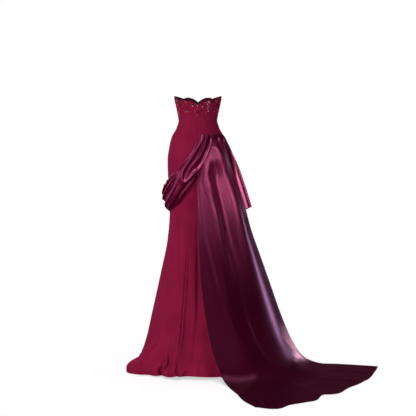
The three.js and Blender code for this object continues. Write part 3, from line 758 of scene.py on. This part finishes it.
SWAG_LAST = len(SWAG_COURSE["lift"]) - 1
SWAG_SPLIT = 8  # the row where its two stretches meet
SPLIT_GAP = 0.003
SATIN_SHEET = 0.9
SWAG_HEM = {"under": 0.6, "upper": 4, "lower": 6}  # how far the edges turn under, and how softly
SWAG_ENDS = {"flattened": 0.8, "flat": 0.25, "tucked": 0.12, "off": 0.5}  # in rows, and off the gown


def swag_stretch(name, start, end, count):
    place, across = np.meshgrid(np.linspace(end, start, count), clustered(110), indexing="ij")
    angle, z, out = swag_frame(place, across)
    grid = gown_point(angle, z, out)
    _, _, upper, lower = edge_distances(grid)
    under = out - SWAG_HEM["under"]
    turned = -under[:, :1] * bell(upper, SWAG_HEM["upper"]) - under[:, -1:] * bell(lower, SWAG_HEM["lower"])
    turned += folds_at(SWAG_HEM_MARKS, np.minimum(upper, lower))
    ends = np.minimum(place, SWAG_LAST - place)
    pleats = 1 - SWAG_ENDS["flattened"] * bell(ends, SWAG_ENDS["flat"])
    moves = crease_moves(grid, SWAG_CREASES, swag_point) * pleats[..., None]
    moved = grid + moves + normals_of(grid) * turned[..., None]
    held = gown_point(angle, moved[..., 2], SWAG_ENDS["off"])
    moved = lerp(moved, held, bell(ends, SWAG_ENDS["tucked"])[..., None])
    return sheet(name, moved, SATIN_SHEET, satin, "satin")


swag_back = swag_stretch("swag_back", 0, SWAG_SPLIT - SPLIT_GAP, 230)
swag_front = swag_stretch("swag_front", SWAG_SPLIT + SPLIT_GAP, SWAG_LAST, 170)

HUNG_OFF = 3  # how far the train and the cascade stay off the gown
TUCKED_OFF = 0.4  # and how far at the waist seam, where they are tucked in
TUCK_REACH = 9
ROLLED_EDGE = 2.6  # radius of the crepe roll along the left edge of the train
ROLL_FROM_ROW = 24
ROLL_ABOVE_FLOOR = 30
FLAT_ABOVE_FLOOR = 60  # below this the furrows fill up, as the train lies on the floor


def gown_angle(points):
    """Angle round the body of points near the gown."""
    x, y, z = np.moveaxis(points, -1, 0)
    side, depth = half_sizes(x, y, z)
    return np.degrees(np.arctan2(y / depth, x / side))


def tucked(moved, down):
    """Draws a sheet's top rows in to the waist seam."""
    held = gown_point(gown_angle(moved), moved[..., 2], TUCKED_OFF)
    return lerp(moved, held, bell(down, TUCK_REACH)[..., None])


def kept_off(moved):
    """Moves out what lies too near to the gown."""
    bed = gown_point(gown_angle(moved), moved[..., 2])
    beyond = np.hypot(moved[..., 0], moved[..., 1]) - np.hypot(bed[..., 0], bed[..., 1])
    short = np.maximum(HUNG_OFF - beyond, 0)
    outward = unit(np.stack((bed[..., 0], bed[..., 1], 0 * short), -1))
    return moved + outward * short[..., None]


def hung(name, level_at, folds, creases, columns, rows, thickness):
    """A satin sheet hung from the waist seam, with its folds, creases and turned hems, and its points."""

    def place(u, v):
        return level_point(level_at(u, v), u)

    u, v = np.meshgrid(clustered(columns), np.linspace(0, 1, rows), indexing="ij")
    level = level_at(u, v)
    high = level["fold"] * folds_at(folds, u)
    flat = ease(FLOOR + FLAT_ABOVE_FLOOR - level["left_z"], 0, FLAT_ABOVE_FLOOR)
    grid = place(u, v)
    grid = grid + normals_of(grid) * lerp(high, np.maximum(high, 0), flat)[..., None]
    left, right, down, low = edge_distances(grid)
    hem = folds_at(SATIN_HEM_MARKS, np.minimum.reduce((left, right, low)))
    moved = grid + crease_moves(grid, creases, place) + normals_of(grid) * hem[..., None]
    moved = tucked(kept_off(moved), down)
    moved[..., 2] = np.maximum(moved[..., 2], FLOOR + SATIN)
    return sheet(name, moved, thickness, satin, "satin"), moved


def rolled_edge(outer):
    """The crepe roll along the train's left edge, down to where it meets the floor."""
    path = outer[0, ROLL_FROM_ROW:]
    path = path[path[:, 2] > FLOOR + ROLL_ABOVE_FLOOR]
    return add_piece("train_rolled_edge", *tube(path, ROLLED_EDGE, 8, steep=0), [crepe], "crepe")


train_piece, outer = hung("train", train_level, TRAIN_FOLDS, TRAIN_CREASES, 150, 300, SATIN * SHEET_SHARE)
train_edge = rolled_edge(outer)
cascade_piece, _ = hung("side_cascade", cascade_level, CASCADE_FOLDS, CASCADE_CREASES, 100, 120, SATIN_SHEET)

# ---------------- neckline, zip and beads

BINDING = {"points": 900, "out": -0.6, "radius": 1.5}
ZIP = {"top": 72, "bottom": -196, "behind": 4.6, "radius": 0.9, "wide": 1.5, "turns": 150, "wire": 0.38}
ZIP_STEPS = 9  # a turn


def neckline():
    """The dark binding of the scalloped edge."""
    angle = np.linspace(0, 360, BINDING["points"], endpoint=False)
    path = gown_point(angle, neckline_height(angle), BINDING["out"])
    add_piece("neck_binding", *tube(path, BINDING["radius"], 8, closed=True), [binding], "crepe")


def zip_coil():
    """The coil of the invisible zip, behind the seam."""
    turn = np.linspace(0, 2 * math.pi * ZIP["turns"], ZIP_STEPS * ZIP["turns"])
    z = np.linspace(ZIP["top"], ZIP["bottom"], len(turn))
    here, along, _, outward = gown_axes(np.full_like(z, 270), z, -CREPE - ZIP["behind"])
    c, s = np.cos(turn)[:, None], np.sin(turn)[:, None]
    path = here + ZIP["radius"] * (ZIP["wide"] * c * along + s * outward)
    add_piece("zip_coil", *tube(path, ZIP["wire"], 5), [tape], "zip_tape")


# A bead is turned round its own axis: pairs of a place on the axis and a radius there.
SEED = ((-0.6, 0.55), (-0.35, 0.95), (0.35, 0.95), (0.6, 0.5))
CRYSTAL = ((-0.3, 0.75), (0, 1), (0.25, 1), (0.62, 0.55))
BUGLE = ((-1, 0.26), (-0.92, 0.32), (0.92, 0.32), (1, 0.26))
DROP = ((-1, 0.12), (-0.5, 0.3), (0.1, 0.68), (0.5, 0.78), (0.85, 0.5), (1, 0.14))
SITS = {True: 0.3, False: 0.35}  # height of a bead's middle, as a share of its size, if it lies or stands


def beads(name, profile, sides, glass, rows, lying):
    """Beads in one mesh, from rows of angle, height, size and turn. Lying ones turn in the cloth's plane,
    and the others stand square to it."""
    angle, z, size, turn = np.array(rows, float).T
    here, along, down, outward = gown_axes(angle, z, size * SITS[lying])
    c, s = np.cos(np.radians(turn))[:, None], np.sin(np.radians(turn))[:, None]
    first = s * along + c * down
    second = np.cross(outward, first)
    axes = (first, second, outward) if lying else (outward, first, second)
    circle = np.linspace(0, 2 * math.pi, sides, endpoint=False)
    shape = np.array([(at, r * math.cos(t), r * math.sin(t)) for at, r in profile for t in circle])
    points = here[:, None] + size[:, None, None] * (shape @ np.stack(axes, 1))
    faces = end_faces(len(profile), sides) + ring_faces(len(profile), sides)
    faces = [tuple(k + len(shape) * i for k in face) for i in range(len(rows)) for face in faces]
    add_piece(name, points.reshape(-1, 3), faces, [glass], "beads", sharp=28)


# Beads along the neckline: distance below it and size.
EDGE_ROWS = ((3.4, 1.5), (6.6, 1.25))
EDGE_BEADS = 215
EDGE_DARK = 0.72
# Sprays: the angle and height of each one's crystal, and the turn of its bugles from straight down.
PINK_SPRAYS = (
    (257, 78, 20), (282.4, 75, -25), (299.4, 51, -18), (238.7, 50, 16),
    (147, 100, 25), (119, 88, 20), (72, 70, 25), (34, 98, -25), (96, 80, 10),
)
DARK_SPRAYS = (
    (240.6, 80, 30), (300.6, 74, -10), (270, 58, 0), (217.5, 92, 20), (228, 62, -30), (328.3, 86, -20),
    (316, 66, 25), (341, 92, 10), (204, 104, -15), (190, 78, 20), (176, 106, -20), (161, 82, 10),
    (132, 74, -15), (107, 62, -25), (84, 84, -10), (61, 95, -20), (48, 76, 15), (20, 80, -10),
    (6, 107, 20), (352, 76, -15), (251, 94, 0), (291, 93, 5), (212, 68, 12), (333, 60, -14),
)
# Distances of a spray's beads from its crystal.
SPRAY = {"ring": 5.4, "bugles": 7.6, "pair": 12, "drop": (19, 25)}
# Loose beads: where they begin below the neckline, over what depth, and how fast they thin out.
LOOSE = {"from": 9, "depth": 104, "thinning": 2.7}
NEIGHBOURS = 260  # of the last beads, which a loose one keeps clear of


def beadwork():
    """Beads thick along the neckline, thinner below, and gathered in sprays round crystals."""
    seeds, dark, pink, red, red_bugles, bugles, drops = [], [], [], [], [], [], []

    def stepped(angle, z, reach, turn):
        """The place at a distance from another, in a direction turned from straight down."""
        turn = math.radians(turn)
        aside = math.degrees(reach * math.sin(turn) / section_size("left", z))
        return angle + aside, z - reach * math.cos(turn)

    def free(angle, z, space, others):
        side = section_size("left", z) * math.pi / 180
        return all(math.hypot((angle - a) * side, z - y) > space for a, y, *_ in others[-NEIGHBOURS:])

    for at, size in EDGE_ROWS:
        for i in range(EDGE_BEADS):
            angle = (i + draw.uniform(-0.2, 0.2)) * 360 / EDGE_BEADS
            z = float(neckline_height(angle)) - at - draw.uniform(0, 0.8)
            row = (angle, z, size, draw.uniform(0, 90))
            (dark if draw.random() < EDGE_DARK else seeds).append(row)
    for sprays, stones, tubes in ((PINK_SPRAYS, pink, red_bugles), (DARK_SPRAYS, red, bugles)):
        for angle, z, lean in sprays:
            stones.append((angle, z, 3.3, 0))
            for turn in range(0, 360, 40):
                dark.append((*stepped(angle, z, SPRAY["ring"], turn + lean), 1.2, 0))
            for turn, length in ((-34, 2.6), (0, 3.8), (34, 2.9)):
                tubes.append((*stepped(angle, z, SPRAY["bugles"] + length, lean + turn), length, lean + turn))
            for turn in (-52, 52):
                red.append((*stepped(angle, z, SPRAY["pair"], lean + turn), 2, 0))
            low = stepped(angle, z, draw.uniform(*SPRAY["drop"]), lean)
            drops.append((*low, draw.uniform(3.6, 5.2), lean))
    kinds = ((dark, 430, 1.3, 1.9), (seeds, 420, 1.1, 2.2), (red, 190, 1.4, 2.6), (bugles, 110, 2.6, 4.4))
    for rows, count, size, space in kinds:
        placed = 0
        while placed < count:
            angle = draw.uniform(0, 360)
            depth = LOOSE["from"] + LOOSE["depth"] * draw.random() ** LOOSE["thinning"]
            z = float(neckline_height(angle)) - depth
            if free(angle, z, space, rows):
                rows.append((angle, z, size * draw.uniform(0.85, 1.3), draw.uniform(-60, 60)))
                placed += 1
    beads("dark_seed_beads", SEED, 7, plum_glass, dark, False)
    beads("red_seed_beads", SEED, 7, ruby_glass, seeds, False)
    beads("pink_crystals", CRYSTAL, 8, rose_glass, pink, False)
    beads("red_crystals", CRYSTAL, 8, ruby_glass, red, False)
    beads("red_bugle_beads", BUGLE, 6, ruby_glass, red_bugles, True)
    beads("dark_bugle_beads", BUGLE, 6, plum_glass, bugles, True)
    beads("drop_beads", DROP, 8, ruby_glass, drops, True)


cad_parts["back_zip"].data.materials.clear()
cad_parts["back_zip"].data.materials.append(tape)
zip_coil()
neckline()
beadwork()

# ---------------- floor, light and camera


def stage_piece(name, points, faces, colour, glow):
    """Part of the plain studio, which isn't mirrored in the gown."""
    piece = new_object(name, points, faces)
    piece.visible_glossy = piece.visible_diffuse = False
    plain, _ = principled(
        name, Base_Color=(*colour, 1), Roughness=1, Specular_IOR_Level=0,
        Emission_Color=(1, 1, 1, 1), Emission_Strength=glow,
    )
    piece.data.materials.append(plain)
    piece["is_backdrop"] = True
    return piece


STUDIO = 30
DOME_DROP = 2
circle = [(STUDIO * math.cos(math.radians(t)), STUDIO * math.sin(math.radians(t))) for t in range(0, 360, 4)]
ground = [(x, y, FLOOR / 1000 - 0.0005) for x, y in circle]
floor = stage_piece("floor", ground, [tuple(range(len(circle)))], (0.45, 0.45, 0.45), 0.6)
rises = [math.radians(e) for e in range(-10, 91, 10)]
rings = [(math.cos(e), STUDIO * math.sin(e) - DOME_DROP) for e in rises]
dome = [(x * wide, y * wide, z) for wide, z in rings for x, y in circle]
backdrop = stage_piece("backdrop", dome, ring_faces(len(rings), len(circle)), (0, 0, 0), 1)
backdrop.visible_shadow = False

world = bpy.data.worlds.new("studio")
world.use_nodes = True
background = world.node_tree.nodes["Background"].inputs
background["Color"].default_value, background["Strength"].default_value = (1, 0.35, 0.55, 1), 0.03
bpy.context.scene.world = world
bpy.context.scene.view_settings.view_transform = "Standard"


def aimed(name, data, place, target):
    """A light or a camera at a place, turned to a target."""
    made = bpy.data.objects.new(name, data)
    made.location = place
    made.rotation_euler = (Vector(target) - Vector(place)).to_track_quat("-Z", "Y").to_euler()
    bpy.context.scene.collection.objects.link(made)
    return made


def light(name, place, target, power, size, colour=(1, 1, 1), only=None, spread=180, mirrored=True):
    """An oblong light on some of the pieces, or the sun where its size is one angle."""
    data = bpy.data.lights.new(name, "AREA" if isinstance(size, tuple) else "SUN")
    data.energy = power
    data.color = colour
    if isinstance(size, tuple):
        data.shape = "RECTANGLE"
        data.spread = math.radians(spread)
        data.size, data.size_y = size
    else:
        data.angle = math.radians(size)
    made = aimed(name, data, place, target)
    made.light_linking.receiver_collection = only
    made.visible_camera = False
    made.visible_glossy = mirrored


def collected(name, pieces):
    """A collection of pieces that some lights fall on alone."""
    made = bpy.data.collections.new(name)
    for piece in pieces:
        made.objects.link(piece)
    return made


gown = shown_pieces()
on_gown = collected("on_gown", gown)
on_satin = collected("on_satin", [p for p in gown if satin.name in p.data.materials])
on_crepe = collected("on_crepe", [p for p in gown if satin.name not in p.data.materials])
on_swag = collected("on_swag", [swag_back, swag_front])
on_train = collected("on_train", [train_piece])
on_cascade = collected("on_cascade", [cascade_piece])
on_floor = collected("on_floor", [floor])
MIDDLE = (0, 0, -0.6)
ROSE = (1, 0.82, 0.9)
PINK = (1, 0.62, 0.86)
LAVENDER = (0.66, 0.64, 1)
light("front", (-0.2, -5, -0.2), MIDDLE, 74, (2.4, 2), only=on_gown, mirrored=False)
light("key_left", (-3.6, -2, 0.5), (0, 0, -0.8), 70, (0.7, 0.9), ROSE, on_crepe)
# narrow lights that show in the folds of the satin
light("train_top", (1.15, -1.9, -0.15), (0.107, -0.11, -0.15), 0.2, (0.5, 0.4), ROSE, on_train, 14)
light("train_ridge", (0.66, -1.95, 0.24), (0.14, -0.1, -0.29), 0.045, (0.4, 0.3), ROSE, on_train, 9)
light("train_middle", (1.45, -1.4, 0.35), (0.165, -0.1, -0.33), 0.3, (0.5, 0.4), ROSE, on_train, 24)
light("train_left", (0.05, -1.95, 0), (0.036, -0.14, -0.28), 0.11, (0.4, 0.4), ROSE, on_train, 16)
light("train_low", (-1.05, -1.8, -0.1), (0.046, -0.157, -0.37), 0.04, (0.5, 0.4), ROSE, on_train, 10)
light("swag_key", (-0.9, -2, 0.5), (0, 0, -0.2), 38, (1.8, 1.2), ROSE, on_swag)
light("swag_top", (-1.05, -1.1, 1.3), (0.01, -0.11, -0.11), 1.1, (0.8, 0.6), ROSE, on_swag, 34)
light("cascade_key", (2.4, -1, 0.1), (0.2, 0, -0.3), 60, (0.8, 1), ROSE, on_cascade)
# soft light on the side that the camera doesn't see
light("far_side", (0.9, 4.6, 0.5), MIDDLE, 115, (2.4, 2), only=on_gown, mirrored=False)
light("far_swag", (-1.5, 2.8, 0.7), (-0.1, 0.1, -0.25), 16, (1.4, 1), ROSE, on_satin)
light("fill_left", (-3.4, -2.6, 0.6), MIDDLE, 44, (1, 2), (1, 0.75, 0.88), only=on_gown)
light("fill_right", (3, -3, 0.4), (0, 0, -0.3), 48, (1, 2), only=on_crepe)
light("top", (0.1, -0.2, 2.4), MIDDLE, 10, (1.6, 1.6), only=on_gown)
light("rim_left", (-2.6, 1.4, 0), MIDDLE, 16, (0.6, 2.2), (1, 0.5, 0.7), only=on_gown)
light("rim_right", (3.1, 0.9, -0.6), (0.36, -0.12, -0.92), 1.5, (1.6, 1), LAVENDER, on_train, 26)
light("low_right", (2.15, 2.36, -1.1), (0.54, -0.05, -1.235), 0.018, (0.3, 0.15), PINK, on_train, 6)
light("overhead", (0, 0, 4), (0.1, 0.2, 0), 2.75, 50, only=on_floor)

camera_data = bpy.data.cameras.new("camera")
camera_data.lens = 83.4855
camera_data.sensor_width = 36
camera_data.clip_end = 100
bpy.context.scene.camera = aimed("camera", camera_data, (0.052, -5, -0.04), (0.052, 0, -0.4472))
